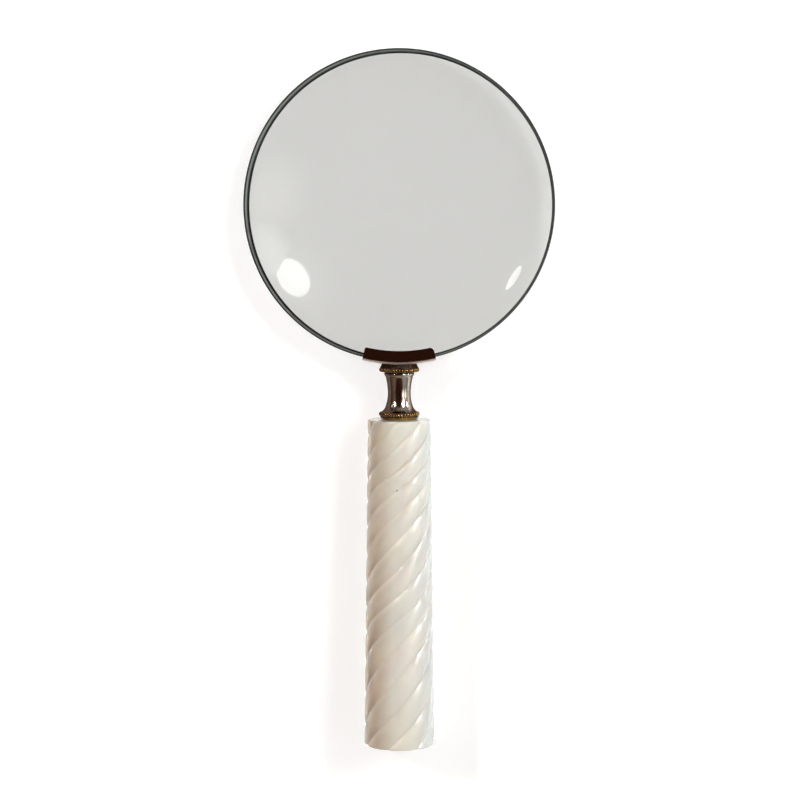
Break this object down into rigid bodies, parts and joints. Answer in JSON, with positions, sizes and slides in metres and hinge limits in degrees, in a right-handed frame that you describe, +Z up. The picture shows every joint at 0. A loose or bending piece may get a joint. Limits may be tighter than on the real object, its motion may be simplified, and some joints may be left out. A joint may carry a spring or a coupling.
{
  "type": "magnifying glass",
  "caption": "Hand-held reading glass: rimless round lens in a curved metal channel, beaded waisted ferrule and spirally fluted bone handle.",
  "frame": {"origin": "middle of the bounding box's footprint, on the surface that the glass lies on", "axes": "+Y from the handle's butt towards the lens, +Z up from the table and out of the lens's front face, +X to the right as seen from the front"},
  "size_m": [0.1016, 0.2296, 0.0261],
  "materials": {
    "glass": "polished",
    "cement": "satin",
    "nickel": "polished",
    "brass": "polished",
    "bone": "gloss",
    "wood": "satin",
    "steel": "satin"
  },
  "bodies": {
    "root": {"lens": "glass", "lens_cement": "cement", "saddle_channel": "nickel", "upper_collar": "nickel", "upper_bead_ring": "brass", "column": "nickel", "lower_bead_ring": "brass", "base_collar": "brass", "tie_rod": "steel", "handle_sleeve": "bone", "core_dowel": "wood", "butt_washer": "steel", "butt_nut": "steel", "butt_plug": "bone"}
  },
  "joints": []
}
